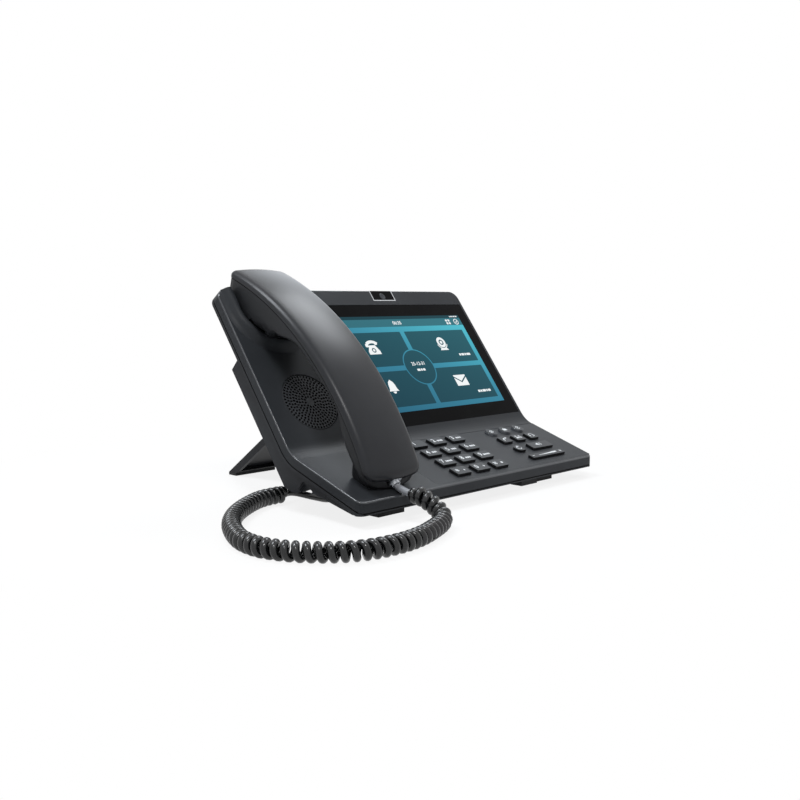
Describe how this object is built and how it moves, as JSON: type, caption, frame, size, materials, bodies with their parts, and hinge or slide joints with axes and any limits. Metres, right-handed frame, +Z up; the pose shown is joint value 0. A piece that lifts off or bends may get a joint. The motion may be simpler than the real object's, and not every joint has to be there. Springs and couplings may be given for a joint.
{
  "type": "desk ip phone",
  "caption": "Desk phone with a tilted touch display, keypad deck, corded handset in a side cradle, and a folding rear stand.",
  "frame": {"origin": "on the desk, at the middle of the phone's footprint without its cord", "axes": "+X to the right seen from the user, +Y to the back, +Z up"},
  "size_m": [0.336, 0.2687, 0.1588],
  "materials": {
    "cover_plastic": "fine satin texture, charcoal",
    "rear_plastic": "fine satin texture, dark charcoal",
    "plate_plastic": "satin, grey",
    "display_glass": "gloss, black border",
    "display_unit": "lit display",
    "camera_glass": "gloss black",
    "bezel_chrome": "polished",
    "module_black": "plain black",
    "grille_plastic": "satin, perforated",
    "circuit_board": "green solder mask",
    "silicone_mat": "soft grey silicone",
    "jack_plastic": "plain black",
    "capsule_metal": "drawn can",
    "foot_rubber": "matt black",
    "screw_steel": "plated",
    "stand_plastic": "satin, dark",
    "handset_plastic": "satin with a soft sheen",
    "handset_inner_plastic": "satin, dark",
    "weight_steel": "plain",
    "plug_plastic": "clear moulded",
    "cord_skin": "glossy black sheath",
    "key_plastic": "black side, grey top, light legend"
  },
  "bodies": {
    "base": {"front_cover": "cover_plastic", "rear_cover": "rear_plastic", "keypad_plate": "plate_plastic", "touch_glass": "display_glass", "lcd_module": "display_unit", "camera_window": "camera_glass", "camera_bezel": "bezel_chrome", "camera_module": "module_black", "speaker_grille": "grille_plastic", "speaker_driver": "module_black", "hook_switch": "module_black", "main_board": "circuit_board", "port_board": "circuit_board", "keypad_board": "circuit_board", "keypad_mat": "silicone_mat", "network_jacks": "jack_plastic", "power_jack": "jack_plastic", "base_handset_jack": "jack_plastic", "base_microphone": "capsule_metal", "front_feet": "foot_rubber", "cover_screws": "screw_steel", "board_screws": "screw_steel", "stand_hinge_pins": "screw_steel", "base_plug": "plug_plastic", "cord_coil": "cord_skin", "cord_lead_handset": "cord_skin", "cord_lead_base": "cord_skin"},
    "handset": {"handset_outer_shell": "handset_plastic", "handset_inner_shell": "handset_inner_plastic", "handset_receiver": "module_black", "handset_microphone": "capsule_metal", "handset_weight": "weight_steel", "handset_jack": "jack_plastic", "handset_plug": "plug_plastic", "handset_screws": "screw_steel"},
    "hook": {"hook_plunger": "key_plastic"},
    "stand_frame": {"stand": "stand_plastic", "stand_feet": "foot_rubber"},
    "rocker": {"volume_rocker": "key_plastic"},
    "key_star_cap": {"key_star": "key_plastic"},
    "key_0_cap": {"key_0": "key_plastic"},
    "key_hash_cap": {"key_hash": "key_plastic"},
    "key_7_cap": {"key_7": "key_plastic"},
    "key_8_cap": {"key_8": "key_plastic"},
    "key_9_cap": {"key_9": "key_plastic"},
    "key_4_cap": {"key_4": "key_plastic"},
    "key_5_cap": {"key_5": "key_plastic"},
    "key_6_cap": {"key_6": "key_plastic"},
    "key_1_cap": {"key_1": "key_plastic"},
    "key_2_cap": {"key_2": "key_plastic"},
    "key_3_cap": {"key_3": "key_plastic"},
    "round_key_left_cap": {"round_key_left": "key_plastic"},
    "round_key_middle_cap": {"round_key_middle": "key_plastic"},
    "round_key_right_cap": {"round_key_right": "key_plastic"},
    "function_key_left_cap": {"function_key_left": "key_plastic"},
    "function_key_middle_cap": {"function_key_middle": "key_plastic"},
    "function_key_right_cap": {"function_key_right": "key_plastic"},
    "half_key_cap": {"half_key": "key_plastic"},
    "speaker_key_cap": {"speaker_key": "key_plastic"}
  },
  "joints": [
    {"name": "handset_lift", "type": "slide", "parent": "base", "child": "handset", "axis": [0, -0.6884, 0.7254], "range_m": [0, 0.06]},
    {"name": "hook_slide", "type": "slide", "parent": "base", "child": "hook", "axis": [0, -0.3272, 0.9449], "range_m": [0, 0.0015]},
    {"name": "stand_fold", "type": "hinge", "parent": "base", "child": "stand_frame", "pos_m": [0, 0.01053, 0.06541], "axis": [-1, 0, 0], "range_deg": [0, 85]},
    {"name": "rocker_tilt", "type": "hinge", "parent": "base", "child": "rocker", "pos_m": [0.0797, -0.09178, 0.0169], "axis": [0, 0.9449, 0.3272], "range_deg": [-2, 2], "stiffness_Nm_per_rad": 0.05},
    {"name": "key_star_press", "type": "slide", "parent": "base", "child": "key_star_cap", "axis": [0, 0.3272, -0.9449], "range_m": [0, 0.0008], "stiffness_N_per_m": 400, "springref_m": -0.0005},
    {"name": "key_0_press", "type": "slide", "parent": "base", "child": "key_0_cap", "axis": [0, 0.3272, -0.9449], "range_m": [0, 0.0008], "stiffness_N_per_m": 400, "springref_m": -0.0005},
    {"name": "key_hash_press", "type": "slide", "parent": "base", "child": "key_hash_cap", "axis": [0, 0.3272, -0.9449], "range_m": [0, 0.0008], "stiffness_N_per_m": 400, "springref_m": -0.0005},
    {"name": "key_7_press", "type": "slide", "parent": "base", "child": "key_7_cap", "axis": [0, 0.3272, -0.9449], "range_m": [0, 0.0008], "stiffness_N_per_m": 400, "springref_m": -0.0005},
    {"name": "key_8_press", "type": "slide", "parent": "base", "child": "key_8_cap", "axis": [0, 0.3272, -0.9449], "range_m": [0, 0.0008], "stiffness_N_per_m": 400, "springref_m": -0.0005},
    {"name": "key_9_press", "type": "slide", "parent": "base", "child": "key_9_cap", "axis": [0, 0.3272, -0.9449], "range_m": [0, 0.0008], "stiffness_N_per_m": 400, "springref_m": -0.0005},
    {"name": "key_4_press", "type": "slide", "parent": "base", "child": "key_4_cap", "axis": [0, 0.3272, -0.9449], "range_m": [0, 0.0008], "stiffness_N_per_m": 400, "springref_m": -0.0005},
    {"name": "key_5_press", "type": "slide", "parent": "base", "child": "key_5_cap", "axis": [0, 0.3272, -0.9449], "range_m": [0, 0.0008], "stiffness_N_per_m": 400, "springref_m": -0.0005},
    {"name": "key_6_press", "type": "slide", "parent": "base", "child": "key_6_cap", "axis": [0, 0.3272, -0.9449], "range_m": [0, 0.0008], "stiffness_N_per_m": 400, "springref_m": -0.0005},
    {"name": "key_1_press", "type": "slide", "parent": "base", "child": "key_1_cap", "axis": [0, 0.3272, -0.9449], "range_m": [0, 0.0008], "stiffness_N_per_m": 400, "springref_m": -0.0005},
    {"name": "key_2_press", "type": "slide", "parent": "base", "child": "key_2_cap", "axis": [0, 0.3272, -0.9449], "range_m": [0, 0.0008], "stiffness_N_per_m": 400, "springref_m": -0.0005},
    {"name": "key_3_press", "type": "slide", "parent": "base", "child": "key_3_cap", "axis": [0, 0.3272, -0.9449], "range_m": [0, 0.0008], "stiffness_N_per_m": 400, "springref_m": -0.0005},
    {"name": "round_key_left_press", "type": "slide", "parent": "base", "child": "round_key_left_cap", "axis": [0, 0.3272, -0.9449], "range_m": [0, 0.0008], "stiffness_N_per_m": 400, "springref_m": -0.0005},
    {"name": "round_key_middle_press", "type": "slide", "parent": "base", "child": "round_key_middle_cap", "axis": [0, 0.3272, -0.9449], "range_m": [0, 0.0008], "stiffness_N_per_m": 400, "springref_m": -0.0005},
    {"name": "round_key_right_press", "type": "slide", "parent": "base", "child": "round_key_right_cap", "axis": [0, 0.3272, -0.9449], "range_m": [0, 0.0008], "stiffness_N_per_m": 400, "springref_m": -0.0005},
    {"name": "function_key_left_press", "type": "slide", "parent": "base", "child": "function_key_left_cap", "axis": [0, 0.3272, -0.9449], "range_m": [0, 0.0008], "stiffness_N_per_m": 400, "springref_m": -0.0005},
    {"name": "function_key_middle_press", "type": "slide", "parent": "base", "child": "function_key_middle_cap", "axis": [0, 0.3272, -0.9449], "range_m": [0, 0.0008], "stiffness_N_per_m": 400, "springref_m": -0.0005},
    {"name": "function_key_right_press", "type": "slide", "parent": "base", "child": "function_key_right_cap", "axis": [0, 0.3272, -0.9449], "range_m": [0, 0.0008], "stiffness_N_per_m": 400, "springref_m": -0.0005},
    {"name": "half_key_press", "type": "slide", "parent": "base", "child": "half_key_cap", "axis": [0, 0.3272, -0.9449], "range_m": [0, 0.0008], "stiffness_N_per_m": 400, "springref_m": -0.0005},
    {"name": "speaker_key_press", "type": "slide", "parent": "base", "child": "speaker_key_cap", "axis": [0, 0.3272, -0.9449], "range_m": [0, 0.0008], "stiffness_N_per_m": 400, "springref_m": -0.0005}
  ],
  "couplings": [
    {"joint": "hook_slide", "follows": "handset_lift", "ratio": 0.025}
  ]
}
